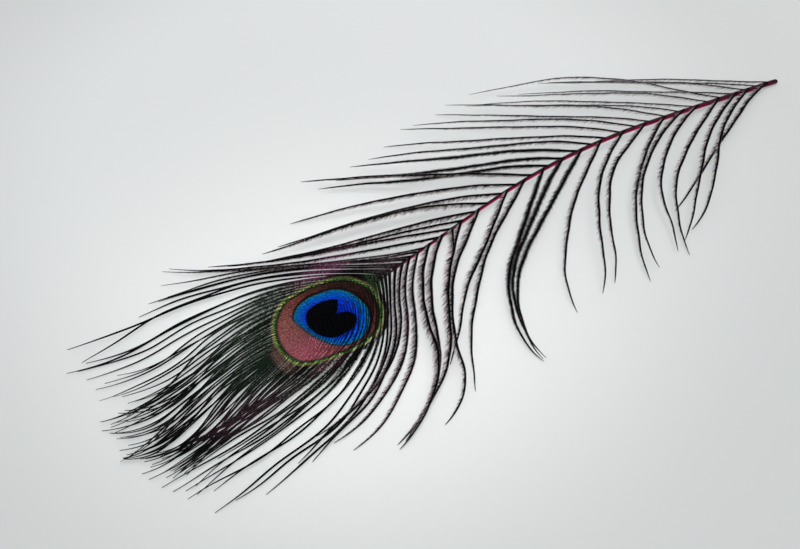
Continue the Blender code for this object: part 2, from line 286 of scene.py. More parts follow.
# Colours of the blue patch from its centre to its edge.
BLUE_COLOURS = [(0.5, "#0628b0"), (0.68, "#0836b4"), (0.8, "#064aac"), (0.92, "#06589a"), (0.98, "#0c6476")]
# Colours of the bronze field once round the eye, from the tip of the feather over its lower side.
BRONZE_COLOURS = [
    (0.0, "#8e5454"),
    (0.08, "#9c5260"),
    (0.16, "#84484e"),
    (0.27, "#6c3c3c"),
    (0.41, "#402222"),
    (0.5, "#2a1614"),
    (0.64, "#2a1a16"),
    (0.75, "#4e2826"),
    (0.83, "#6a3832"),
    (0.91, "#7e4a44"),
    (1.0, "#8e5454"),
]
# Colours of the barbs' own stems, one drawn for each barb.
STEM_COLOURS = [(0.0, "#060505"), (0.35, "#0a0708"), (0.7, "#060907"), (1.0, "#0d0809")]
# Dye along the shaft from the quill end to the eye, and how black its upper side is.
DYE_COLOURS = [
    (0.0, "#1c060e"),
    (0.01, "#a00458"),
    (0.1, "#bc0660"),
    (0.3, "#d00860"),
    (0.62, "#dc0e62"),
    (0.77, "#c0104c"),
    (0.83, "#1c0a0e"),
    (0.86, "#080606"),
]
BLACK_SHARES = [(0.0, "#f2f2f2"), (0.1, "#f2f2f2"), (0.3, "#f6f6f6"), (0.8, "#ffffff")]
KERATIN_IOR = 1.56
SMOOTH = {"interpolation_type": "SMOOTHSTEP"}

# The point that the camera looks at, the centre of the table's painted glow, and the height of the table top.
LOOKED_AT = (28.98, 3.44, 0.0)
PAINTED_GLOW_CENTRE = (46.0, 72.0, 0.0)
TABLE_LEVEL = -0.02
# Soft lights: place in metres from the point looked at (right, away, up in the view), size, power, spread in
# degrees. The narrow one makes the table brighter round the eye than at the photograph's edges.
LIGHTS = {
    "window": ((0.45, 0.45, 0.8), 0.5, 2.9, 180.0),
    "pool": ((-0.015, -0.03, 0.8), 0.12, 0.03, 15.0),
}


def linear(code):
    """A colour written as sRGB hex, as linear red, green, blue and alpha."""
    channels = [int(code[index:index + 2], 16) / 255 for index in (1, 3, 5)]
    light = [((value + 0.055) / 1.055) ** 2.4 if value > 0.04045 else value / 12.92 for value in channels]
    return [*light, 1.0]


# ---- Courses of the shaft and the barbs ----


def place(x, y, z):
    """A point of the layout in the frame of the model, in metres."""
    return ((x - ORIGIN_IN_LAYOUT[0]) * MM, (y - ORIGIN_IN_LAYOUT[1]) * MM, z * MM)


def blend(low, high, share):
    """The values between two rows, a share of the way from the first to the second."""
    return [a + (b - a) * share for a, b in zip(low, high)]


def ease(value, low, high):
    """0 below low, 1 above high, and a smooth step between."""
    share = min(max((value - low) / (high - low), 0.0), 1.0)
    return share * share * (3.0 - 2.0 * share)


def smooth_route(rows, steps):
    """Rows read from a smooth curve that passes through every given row."""
    first = blend(rows[1], rows[0], 2.0)
    last = blend(rows[-2], rows[-1], 2.0)
    padded = [first] + [list(row) for row in rows] + [last]
    route = []
    for index in range(1, len(padded) - 2):
        before, start, end, after = padded[index - 1:index + 3]
        for step in range(steps):
            t = step / steps
            weights = (
                -0.5 * t + t * t - 0.5 * t ** 3,
                1.0 - 2.5 * t * t + 1.5 * t ** 3,
                0.5 * t + 2.0 * t * t - 1.5 * t ** 3,
                -0.5 * t * t + 0.5 * t ** 3,
            )
            columns = zip(before, start, end, after)
            route.append([sum(w * v for w, v in zip(weights, column)) for column in columns])
    route.append(list(rows[-1]))
    return route


def value_at(rows, key):
    """A row read between the rows of a table whose first column rises."""
    if key <= rows[0][0]:
        return list(rows[0])
    for low, high in zip(rows, rows[1:]):
        if key <= high[0]:
            return blend(low, high, (key - low[0]) / (high[0] - low[0]))
    return list(rows[-1])


def measured_shaft():
    """The shaft's route with its station in front: station, x, y, height, radius, forward direction."""
    route = smooth_route(SHAFT_ROUTE, 8)
    rows = []
    station = 0.0
    for index, row in enumerate(route):
        if index:
            station += math.dist(row[:2], route[index - 1][:2])
        low = route[max(index - 1, 0)]
        high = route[min(index + 1, len(route) - 1)]
        forward = math.atan2(high[1] - low[1], high[0] - low[0]) % math.tau
        rows.append([station, *row, forward])
    return rows


def sunk_shaft():
    """The shaft's rows, with a rounded quill end, and lower and thinner under the eye."""
    rows = measured_shaft()
    station, x, y, height, radius, forward = rows[0]
    rounded = [[station + run, x - run, y, height, radius * share, forward] for run, share in QUILL_END]
    body = [row for row in rows if row[0] > QUILL_ROUNDED_TO]
    for row in body:
        sunk = 1.0 - ease(row[1], *SUNK_BETWEEN)
        row[3] += (EYE_SHAFT_HEIGHT - row[3]) * sunk
        row[4] += (EYE_SHAFT_RADIUS - row[4]) * sunk
    return rounded + body


def barb_course(shaft, row, side):
    """Centre line of a barb in plan, found by walking along its changing direction."""
    station, length = row[0], row[1]
    bends = [[share / 4, angle] for share, angle in enumerate(row[2:])]
    _, x, y, _, _, forward = value_at(shaft, station)
    points = [(x, y)]
    for step in range(BARB_STEPS):
        share = (step + 0.5) / BARB_STEPS
        heading = forward + side * math.radians(value_at(bends, share)[1])
        x += math.cos(heading) * length / BARB_STEPS
        y += math.sin(heading) * length / BARB_STEPS
        points.append((x, y))
    return points


def from_eye(x, y):
    """A point's turn round the eye's centre, from 0 to 1, and its distance from there in millimetres."""
    dx, dy = x - EYE_CENTRE[0], y - EYE_CENTRE[1]
    return [math.atan2(dy, dx) / math.tau + 0.5, math.hypot(dx, dy)]


def polar_outline(outline):
    """An outline as turns and distances, closed where the turns begin anew."""
    spots = sorted(from_eye(x, y) for x, y in outline)
    first, last = spots[0], spots[-1]
    share = (1.0 - last[0]) / (first[0] + 1.0 - last[0])
    meeting = last[1] + (first[1] - last[1]) * share
    return [[0.0, meeting], *spots, [1.0, meeting]]


RING_TURNS = polar_outline(RING)


def beyond_ring(x, y):
    """How far outside the eye's ring a point lies, in millimetres; negative inside it."""
    turn, away = from_eye(x, y)
    return away - value_at(RING_TURNS, turn)[1]


def shaft_top(shaft, station):
    """Height at which a barb leaves the shaft, a little below its top."""
    row = value_at(shaft, station)
    return row[3] + 0.75 * row[4]


def loose_height(root_height, share, layer):
    """Height along a single barb: down from the shaft, over its arch and out in its layer."""
    fall = root_height * (1.0 - share) ** 1.5
    spread = min(share / LAYERED_FROM, 1.0) * layer * LAYER_GAP
    return fall + LIFT * math.sin(math.pi * share) + TIP_HEIGHT * share + spread


def loose_barbs(shaft, label, chance):
    """The single barbs of one side: station, and the points of each."""
    side, table = SIDES[label]
    barbs = []
    for index, row in enumerate(table):
        if row[0] > FAN_FROM:
            continue
        root_height = shaft_top(shaft, row[0])
        phase = chance.uniform(0.0, math.tau)
        points = []
        # The barb wavers slowly, more towards its tip, and a little all along.
        for step, (x, y) in enumerate(barb_course(shaft, row, side)):
            share = step / BARB_STEPS
            run = share * row[1]
            waver = 0.3 * share * math.sin(phase + run / 5.0) + 0.12 * math.sin(phase + run / 2.1)
            points.append((x + waver, y, loose_height(root_height, share, index % LAYERS)))
        barbs.append((row[0], points))
    return barbs


def fan_stations(label, pitch, chance):
    """Where the fan's barbs leave the shaft: the first as in the table, and then close together."""
    _, table = SIDES[label]
    stations = [row[0] for row in table if FAN_FROM < row[0] < KNITTED_FROM[label]]
    station = KNITTED_FROM[label]
    while station <= FAN_TO:
        stations.append(station)
        station += pitch * value_at(CROWDING[label], station)[1] * chance.uniform(0.8, 1.2)
    return stations


def fan_rows(label, pitch, chance):
    """Rows of the fan's barbs in clumps that lean the same way. A few clumps stray across the others."""
    _, table = SIDES[label]
    stations = fan_stations(label, pitch, chance)
    clumps = []
    while stations:
        size, lean = 1, 0.0
        if stations[0] > CLUMPED_FROM[label]:
            size = chance.choice(CLUMP_SIZES)
            lean = chance.gauss(0.0, CLUMP_LEAN)
            if chance.random() < STRAY_SHARE:
                lean = chance.uniform(*STRAY_LEAN)
        clump = []
        for station in stations[:size]:
            row = value_at(table, station)
            row[1] *= chance.uniform(*LENGTH_DRAW)
            own = chance.gauss(0.0, OWN_LEAN)
            row[2:] = [angle + (lean + own) * turn for angle, turn in zip(row[2:], CLUMP_TURNS)]
            clump.append(row)
        clumps.append(clump)
        stations = stations[size:]
    return clumps


def fan_height(share, clear, root_height, level):
    """Height along a fan barb: from the shaft down onto the web, and beyond the eye to its clump's level."""
    knitted = KNITTED_HEIGHT + (root_height - KNITTED_HEIGHT) * (1.0 - ease(share, 0.0, 0.15))
    rest = FAN_HEIGHT + level
    return knitted + (rest - knitted) * ease(clear, 2.0, 14.0) * ease(share, 0.15, 0.4)


def fan_barbs(shaft, label, settings):
    """The fan's barbs of one side: side by side in the eye, and drawn together in clumps beyond it."""
    chance = random.Random(settings.seed + FAN_DRAWS[label])
    side, _ = SIDES[label]
    barbs = []
    for clump in fan_rows(label, settings.pitch / MM, chance):
        courses = [barb_course(shaft, row, side) for row in clump]
        middle = [[sum(values) / len(values) for values in zip(*spots)] for spots in zip(*courses)]
        pull = chance.uniform(0.0, CLUMP_PULL)
        level = chance.uniform(0.0, 1.0)
        for row, course in zip(clump, courses):
            root_height = max(shaft_top(shaft, row[0]), KNITTED_HEIGHT)
            own_level = level + chance.uniform(0.0, 0.3)
            phase = chance.uniform(0.0, math.tau)
            swing = chance.uniform(0.15, 0.7)
            points = []
            for step, (spot, centre) in enumerate(zip(course, middle)):
                share = step / BARB_STEPS
                clear = beyond_ring(*spot)
                # Beyond the eye the clump draws together, and each barb of it wavers on its own.
                drawn = pull * ease(clear, 6.0, 40.0) * ease(share, 0.3, 0.75)
                x, y = blend(spot, centre, drawn)
                waver = swing * ease(clear, 3.0, 25.0) * math.sin(phase + share * row[1] / 5.5)
                height = fan_height(share, clear, root_height, own_level)
                points.append((x - 0.6 * waver, y + 0.8 * waver, height))
            barbs.append((row[0], points))
    return barbs


# ---- Node trees ----


# The node that works out a number, in materials and in Geometry Nodes alike.
MATH = "ShaderNodeMath"


def add(tree, kind, inputs=(), **settings):
    """A new node with its settings. Its inputs, by place or name, are set, or linked to nodes or sockets."""
    made = tree.nodes.new(kind)
    for name, value in settings.items():
        setattr(made, name, value)
    pairs = inputs.items() if isinstance(inputs, dict) else enumerate(inputs)
    for key, value in pairs:
        socket = made.inputs[key]
        for item in value if isinstance(value, list) else [value]:
            if isinstance(item, bpy.types.Node):
                item = next(output for output in item.outputs if output.enabled)
            if isinstance(item, bpy.types.NodeSocket):
                tree.links.new(item, socket)
            else:
                colour = isinstance(item, str) and socket.type == "RGBA"
                socket.default_value = linear(item) if colour else item
    return made


def line_tree(name, inputs):
    """A Geometry Nodes tree with named inputs, the inputs' sockets, and the lines of the mesh it is given."""
    tree = bpy.data.node_groups.new(name, "GeometryNodeTree")
    sockets = [
        ("Geometry", "NodeSocketGeometry", None),
        *inputs,
        ("Line count", "NodeSocketFloat", 1.0),
        ("Finish", "NodeSocketMaterial", None),
    ]
    for label, kind, default in sockets:
        socket = tree.interface.new_socket(label, in_out="INPUT", socket_type=kind)
        if default is not None:
            socket.default_value = default
    tree.interface.new_socket("Geometry", in_out="OUTPUT", socket_type="NodeSocketGeometry")
    given = add(tree, "NodeGroupInput").outputs
    bare = add(tree, "GeometryNodeMeshToCurve", {"Mesh": given["Geometry"]})
    return tree, given, add(tree, "GeometryNodeSetCurveNormal", {"Curve": bare}, mode="Z_UP")


def finish_tree(tree, given, geometry):
    """Lay the lines out as strips on the map, one above the other, and end the tree in its material."""
    share, nudge, across, barb = [
        add(tree, "GeometryNodeInputNamedAttribute", {"Name": name})
        for name in ("share", "nudge", "across", "barb")
    ]
    # Each strip keeps a small margin to its neighbours and to the map's edges.
    along = add(tree, MATH, [nudge, 0.003, share], operation="MULTIPLY_ADD")
    u = add(tree, MATH, [along, 0.99, 0.005], operation="MULTIPLY_ADD")
    half = add(tree, MATH, [across, 0.46, 0.5], operation="MULTIPLY_ADD")
    line = add(tree, MATH, [barb, half], operation="ADD")
    v = add(tree, MATH, [line, given["Line count"]], operation="DIVIDE")
    mapped = add(tree, "GeometryNodeStoreNamedAttribute", {
        "Geometry": geometry,
        "Name": "OFBake",
        "Value": add(tree, "ShaderNodeCombineXYZ", [u, v]),
    }, data_type="FLOAT2", domain="CORNER")
    real = add(tree, "GeometryNodeRealizeInstances", [mapped])
    done = add(tree, "GeometryNodeSetMaterial", {"Geometry": real, "Material": given["Finish"]})
    add(tree, "NodeGroupOutput", [done])
    return tree


def shaft_tree():
    """A tapered stem along a line, whose corners know how high round the stem they are."""
    tree, given, line = line_tree("Shaft growth", [("Sides", "NodeSocketInt", 20)])
    return finish_tree(tree, given, sweep_stem(tree, line, given["Sides"]))


def barb_tree():
    """A stem along each line and rows of barbules along both its sides."""
    tree, given, lines = line_tree("Barb growth", [
        ("Stem sides", "NodeSocketInt", 5),
        ("Barbule spacing", "NodeSocketFloat", 1.0),
        ("Barbule width", "NodeSocketFloat", 0.00016),
        ("Sweep", "NodeSocketFloat", math.radians(40)),
        ("Clumping", "NodeSocketFloat", math.radians(42)),
        ("Clump length", "NodeSocketFloat", 0.0012),
        ("Seed", "NodeSocketInt", 1),
    ])
    parts = [sweep_stem(tree, lines, given["Stem sides"]), grow_barbules(tree, given, lines)]
    return finish_tree(tree, given, add(tree, "GeometryNodeJoinGeometry", [parts]))


def ribbon_tree():
    """A flat strip with a low ridge along each line, as wide as the line says."""
    tree, given, lines = line_tree("Knitted barbs", [("Relief", "NodeSocketFloat", 0.1)])
    low = add(tree, MATH, [given["Relief"], -0.6], operation="MULTIPLY")
    outline = add(tree, "GeometryNodeCurvePrimitiveQuadrilateral", {
        "Point 1": (-1.0, 0.0, 0.0),
        "Point 2": add(tree, "ShaderNodeCombineXYZ", {"Y": low}),
        "Point 3": (1.0, 0.0, 0.0),
        "Point 4": add(tree, "ShaderNodeCombineXYZ", {"Y": given["Relief"]}),
    }, mode="POINTS")
    corner = add(tree, "ShaderNodeSeparateXYZ", [add(tree, "GeometryNodeInputPosition")])
    return finish_tree(tree, given, sweep(tree, lines, outline, {"across": corner.outputs["X"]}))


def sweep_stem(tree, lines, sides):
    """A round, tapering stem along each line; its corners know their side of it and their height round it."""
    circle = add(tree, "GeometryNodeCurvePrimitiveCircle", {"Resolution": sides, "Radius": 1.0})
    corner = add(tree, "ShaderNodeSeparateXYZ", [add(tree, "GeometryNodeInputPosition")])
    across = add(tree, MATH, [corner.outputs["X"], 0.12], operation="MULTIPLY")
    stem = sweep(tree, lines, circle, {"across": across, "upper": corner.outputs["Y"]})
    return add(tree, "GeometryNodeSetShadeSmooth", {"Geometry": stem})


def sweep(tree, lines, outline, values):
    """A body along each line, as thick as the line says, whose corners keep the outline's values by name."""
    for name, value in values.items():
        outline = add(tree, "GeometryNodeStoreNamedAttribute",
                      {"Geometry": outline, "Name": name, "Value": value})
    width = add(tree, "GeometryNodeInputNamedAttribute", {"Name": "stem"})
    return add(tree, "GeometryNodeCurveToMesh",
               {"Curve": lines, "Profile Curve": outline, "Scale": width, "Fill Caps": True})


def grow_barbules(tree, given, lines):
    """Thin pointed barbules that sweep forward, in turn to the left and to the right of the stem."""
    spacing, left, right, spread, sign = [
        add(tree, "GeometryNodeInputNamedAttribute", {"Name": name})
        for name in ("spacing", "left", "right", "reach", "turn")
    ]
    apart = add(tree, MATH, [spacing, given["Barbule spacing"]], operation="MULTIPLY")
    spots = add(tree, "GeometryNodeResampleCurve", {"Curve": lines, "Length": apart}, mode="LENGTH")
    parity = add(tree, MATH, [add(tree, "GeometryNodeInputIndex"), 2.0], operation="MODULO")
    turn = add(tree, MATH, [parity, 2.0, -1.0], operation="MULTIPLY_ADD")
    turned = add(tree, "GeometryNodeStoreNamedAttribute", {"Geometry": spots, "Name": "turn", "Value": turn})
    by_side = {"Switch": parity, "False": right, "True": left}
    longest = add(tree, "GeometryNodeSwitch", by_side, input_type="FLOAT")
    drawn = add(tree, "FunctionNodeRandomValue", {2: 0.75, 3: 1.15, "Seed": given["Seed"]})
    length = add(tree, MATH, [longest, drawn], operation="MULTIPLY")
    grown = add(tree, "GeometryNodeInstanceOnPoints", {
        "Points": turned,
        "Instance": barbule(tree),
        "Rotation": barbule_rotation(tree, given, turn),
        "Scale": add(tree, "ShaderNodeCombineXYZ", [length, given["Barbule width"], given["Barbule width"]]),
    })
    real = add(tree, "GeometryNodeRealizeInstances", [grown])
    outward = add(tree, MATH, [spread, 0.85, 0.15], operation="MULTIPLY_ADD")
    across = add(tree, MATH, [outward, sign], operation="MULTIPLY")
    return add(tree, "GeometryNodeStoreNamedAttribute", {"Geometry": real, "Name": "across", "Value": across})


def barbule_rotation(tree, given, turn):
    """Forward along the stem, swung out to one side; neighbours swing alike and stick together in tufts."""
    along = add(tree, "FunctionNodeAlignRotationToVector", {"Vector": add(tree, "GeometryNodeInputTangent")},
                axis="X", pivot_axis="Z")
    fineness = add(tree, MATH, [1.0, given["Clump length"]], operation="DIVIDE")
    drift = add(tree, "ShaderNodeTexNoise",
                {"Vector": add(tree, "GeometryNodeInputPosition"), "Scale": fineness, "Detail": 1.0})
    swing = add(tree, MATH, [drift.outputs[0], 0.5], operation="SUBTRACT")
    together = add(tree, MATH, [swing, given["Clumping"], given["Sweep"]], operation="MULTIPLY_ADD")
    loosely, pitch = [
        add(tree, "FunctionNodeRandomValue",
            {2: low, 3: high, "Seed": add(tree, MATH, [given["Seed"], later], operation="ADD")})
        for later, low, high in ((1.0, -0.12, 0.12), (2.0, -0.14, 0.16))
    ]
    yaw = add(tree, MATH, [together, loosely], operation="ADD")
    sided = add(tree, MATH, [yaw, turn], operation="MULTIPLY")
    angles = add(tree, "ShaderNodeCombineXYZ", {"Y": pitch, "Z": sided})
    turned = add(tree, "FunctionNodeEulerToRotation", [angles])
    return add(tree, "FunctionNodeRotateRotation", {"Rotation": along, "Rotate By": turned},
               rotation_space="LOCAL")


def barbule(tree):
    """A three-sided spike one unit long, which knows how far each of its corners is from its root."""
    cone = add(tree, "GeometryNodeMeshCone", {
        "Vertices": 3,
        "Side Segments": 1,
        "Fill Segments": 1,
        "Radius Top": 0.0,
        "Radius Bottom": 0.5,
        "Depth": 1.0,
    }, fill_type="NGON").outputs["Mesh"]
    spike = add(tree, "GeometryNodeTransform", {"Geometry": cone, "Rotation": (0.0, math.pi / 2, 0.0)})
    corner = add(tree, "ShaderNodeSeparateXYZ", [add(tree, "GeometryNodeInputPosition")]).outputs
    for name, axis in (("reach", "X"), ("nudge", "Y")):
        spike = add(tree, "GeometryNodeStoreNamedAttribute",
                    {"Geometry": spike, "Name": name, "Value": corner[axis]})
    return spike


# ---- Meshes ----


def line_mesh(name, lines):
    """A mesh of bare lines, each a list of corners with its place and its values by name."""
    places = [corner["place"] for line in lines for corner in line]
    edges = []
    start = 0
    for line in lines:
        edges += [(start + index, start + index + 1) for index in range(len(line) - 1)]
        start += len(line)
    mesh = bpy.data.meshes.new(name)
    mesh.from_pydata(places, edges, [])
    for label in lines[0][0]:
        if label != "place":
            values = [corner[label] for line in lines for corner in line]
            mesh.attributes.new(label, "FLOAT", "POINT").data.foreach_set("value", values)
    return mesh


def new_object(name, data):
    made = bpy.data.objects.new(name, data)
    bpy.context.scene.collection.objects.link(made)
    return made


def grow(name, lines, tree, values):
    """A piece made by a tree from lines, as a plain mesh object at the origin."""
    piece = new_object(name, line_mesh(name, lines))
    growth = piece.modifiers.new("growth", "NODES")
    growth.node_group = tree
    values = {"Line count": float(len(lines)), **values}
    for item in tree.interface.items_tree:
        if item.name in values and item.in_out == "INPUT":
            growth[item.identifier] = values[item.name]
    graph = bpy.context.evaluated_depsgraph_get()
    grown = bpy.data.meshes.new_from_object(piece.evaluated_get(graph))
    if not grown.polygons:
        raise RuntimeError(f"{name} has no faces")
    piece.modifiers.clear()
    piece.data = grown
    grown.name = name
    settle(piece)


def settle(piece):
    """Say where the finished piece belongs."""
    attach(piece, "root")
    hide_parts("feather")


def barb_lines(barbs, label, stem, chance):
    """The corners of every barb, with the widths, lengths and colour values that its growth reads."""
    side, _ = SIDES[label]
    lines = []
    for index, (station, points) in enumerate(barbs):
        _, far, near, spacing = value_at(BARBULES, station)
        tone = chance.random()
        fringe = value_at(FRINGE, station)[1]
        trim = UPPER_TRIM if side < 0 and station > TRIMMED_FROM else 1.0
        bleach = 1.0 - ease(station, *BLEACHED_BETWEEN) if side < 0 else 0.0
        beside_eye = ease(station, 175.0, 187.0) * (1.0 - ease(station, 192.0, 202.0))
        bulk = (1.0 - 0.5 * bleach) * (1.0 + 0.5 * beside_eye)
        blush = ease(station, 125.0, 185.0) * (1.0 - ease(station, 204.0, 214.0)) * chance.uniform(0.2, 1.0)
        left, right = (near, far) if side > 0 else (far, near)
        line = []
        for step, (x, y, z) in enumerate(points):
            share = step / (len(points) - 1)
            taper = value_at(BARBULE_TAPER, share)[1]
            clear = beyond_ring(x, y)
            knit = 0.6 + 0.4 * ease(clear, -2.0, 1.0)
            line.append({
                "place": place(x, y, z),
                "stem": value_at(stem, share)[1] * knit * bulk * MM,
                "left": left * trim * taper * MM,
                "right": right * trim * taper * MM,
                "spacing": spacing * (1.0 + 1.3 * bleach) * MM,
                "share": share,
                "barb": float(index),
                "tone": tone,
                "fringe": fringe,
                "blush": blush if side > 0 else 0.0,
                "bleach": bleach * ease(share, 0.05, 0.4),
                # Painted shade along the stem, partly its own darker colour.
                "stripe": stem_line_shade(x, y, clear),
            })
        lines.append(line)
    return lines


def stem_line_shade(x, y, clear):
    """How deep the painted shade along the barbs' lines on the eye is, partly their stems' own darker colour:
    faint above, black at its lower right, dashed on the ring.
    """
    lower_right = ease(x, -24.0, 0.0) * ease(-y, -9.0, 4.0)
    on_ring = 1.0 - ease(abs(clear + 0.4), 0.6, 2.0)
    return max(0.25 + 0.7 * lower_right, 0.75 * on_ring)


def square_distance(course, points, step):
    """Distance from a point of one barb to its neighbour, square to the first one's heading."""
    x, y, _ = points[step]
    low, high = points[max(step - 1, 0)], points[min(step + 1, len(points) - 1)]
    heading = math.atan2(high[1] - low[1], high[0] - low[0])
    window = course[max(step - GAP_WINDOW, 0):step + GAP_WINDOW + 1]
    near = min(window, key=lambda other: math.dist(other[:2], (x, y)))
    return abs((near[0] - x) * math.sin(heading) - (near[1] - y) * math.cos(heading))


def ribbon_lines(barbs, settings, chance):
    """The corners of the strips that the barbules make of the knitted barbs, each as wide as its gaps ask."""
    lines = []
    knitted = [points for _, points in barbs]
    for index, (station, points) in enumerate(barbs):
        neighbours = knitted[max(index - 1, 0):index] + knitted[index + 1:index + 2]
        tone = chance.random()
        firm = 0.2 + 0.8 * ease(station, *KNITTED_FULLY)
        line = []
        for step, (x, y, z) in enumerate(points):
            share = step / (len(points) - 1)
            clear = beyond_ring(x, y)
            gaps = [square_distance(course, points, step) * MM for course in neighbours]
            knit = min(max(max(gaps) * settings.overlap, THINNEST_KNIT * MM), settings.widest)
            strand = min(max(min(gaps) * settings.parted, THINNEST_STRAND * MM), settings.strand)
            strand *= 1.0 - 0.6 * ease(share, 0.75, 1.0)
            parted = ease(clear, 0.0, 17.0) * ease(share, 0.2, 0.45)
            line.append({
                "place": place(x, y, z),
                "stem": (knit + (strand - knit) * parted) * firm,
                "share": share,
                "barb": float(index),
                "tone": tone,
                # Painted shade: of the table seen between the barbs, most near the ring, and along their
                # stems.
                "haze": 1.0 - 0.7 * ease(clear, 8.0, 24.0),
                "stripe": stem_line_shade(x, y, clear),
            })
        line.insert(0, overlapped_root(line))
        lines.append(line)
    return lines


def overlapped_root(line):
    """A corner just before a strip's first, so that strips from both sides of the shaft overlap over it."""
    there, following = Vector(line[0]["place"]), Vector(line[1]["place"])
    back = (there - following).normalized() * ROOT_OVERLAP * MM
    return {**line[0], "place": tuple(there + back)}


def web_mesh(name):
    """A thin closed sheet under the knitted barbs of the eye, a little wider than its ring."""
    loops = [(scale, WEB_HEIGHT - drop) for scale, drop in WEB_LOOPS]
    loops += [(scale, level - WEB_THICKNESS) for scale, level in reversed(loops)]
    count = len(RING)
    corners = []
    for scale, level in loops:
        for spot in RING:
            corners.append(place(*blend(EYE_CENTRE, spot, scale), level))
    faces = [tuple(range(count)), tuple(reversed(range(len(corners) - count, len(corners))))]
    for loop in range(len(loops) - 1):
        for index in range(count):
            a, b = loop * count + index, loop * count + (index + 1) % count
            faces.append((b, a, a + count, b + count))
    mesh = bpy.data.meshes.new(name)
    mesh.from_pydata(corners, [], faces)
    # The map shows the web from above, with the eye's centre near its middle.
    layer = mesh.uv_layers.new(name="OFBake")
    for loop in mesh.loops:
        x, y, _ = mesh.vertices[loop.vertex_index].co
        layer.data[loop.index].uv = (x / (60 * MM) + 1.54, y / (60 * MM) + 0.57)
    return mesh


# ---- Finishes ----


def new_material(name, values):
    """A new material, its node tree and its shader, whose sockets have the given values."""
    material = bpy.data.materials.new(name)
    material.use_nodes = True
    shader = material.node_tree.nodes["Principled BSDF"]
    for label, value in values.items():
        shader.inputs[label].default_value = linear(value) if isinstance(value, str) else value
    return material, material.node_tree, shader


def zone_share(tree, turn, distance, outline, handles):
    """How far out a point lies towards an outline: 0 at the eye's centre, 1 on the outline."""
    reach = add(tree, "ShaderNodeFloatCurve", {"Value": turn})
    spots = [(share, away / OUTLINE_REACH) for share, away in polar_outline(outline)]
    corners = reach.mapping.curves[0].points
    corners[0].location = spots[0]
    corners[1].location = spots[-1]
    for spot in spots[1:-1]:
        corners.new(*spot)
    for corner in corners:
        corner.handle_type = handles
    reach.mapping.update()
    return add(tree, MATH, [distance, reach], operation="DIVIDE")


def fill_stops(ramp, stops):
    """Give a colour ramp a stop for each pair of place and hex colour."""
    elements = ramp.color_ramp.elements
    while len(elements) < len(stops):
        elements.new(0.5)
    for element, (spot, code) in zip(elements, stops):
        element.position = spot
        element.color = linear(code)
    return ramp


def lay_over(tree, colour, layers):
    """Colours laid over the first one in turn, each as far as its share says."""
    for share, layer in layers:
        colour = add(tree, "ShaderNodeMix", {0: share, 6: colour, 7: layer}, data_type="RGBA")
    return colour


def glow_colour(tree, spot, colour, texture):
    """The patches of colour round the eye, laid over the barbs' own colour and broken up by their texture."""
    for x, y, length, width, strength, code in GLOWS:
        centre = (x - EYE_CENTRE[0], y - EYE_CENTRE[1], 0.0)
        offset = add(tree, "ShaderNodeVectorMath", [spot, centre], operation="SUBTRACT")
        shaped = add(tree, "ShaderNodeVectorMath", [offset, (length, width, 1.0)], operation="DIVIDE")
        away = add(tree, "ShaderNodeVectorMath", [shaped], operation="LENGTH").outputs["Value"]
        blurred = add(tree, "ShaderNodeMapRange", [away, 0.2, 1.0, strength, 0.0], **SMOOTH)
        broken = add(tree, "ShaderNodeMapRange", [texture, 0.4, 0.6, 0.1, 1.4])
        share = add(tree, MATH, [blurred, broken], operation="MULTIPLY", use_clamp=True)
        colour = lay_over(tree, colour, [(share, code)])
    return colour


def painted_gap_colour(tree, outward, colour, texture):
    """Pale grey-green streaks between the barbs beside the eye: painted shade of the table and of the lower
    barbs seen through the gaps.
    """
    haze = add(tree, "ShaderNodeAttribute", attribute_name="haze").outputs["Fac"]
    between = add(tree, "ShaderNodeMapRange", [outward, 0.35, 0.65, 0.0, 1.0], **SMOOTH)
    streaks = add(tree, "ShaderNodeMapRange", [texture, 0.36, 0.6, 0.15, 1.0], **SMOOTH)
    open_part = add(tree, MATH, [between, streaks], operation="MULTIPLY")
    share = add(tree, MATH, [open_part, haze], operation="MULTIPLY")
    return lay_over(tree, colour, [(share, "#7d8078")])


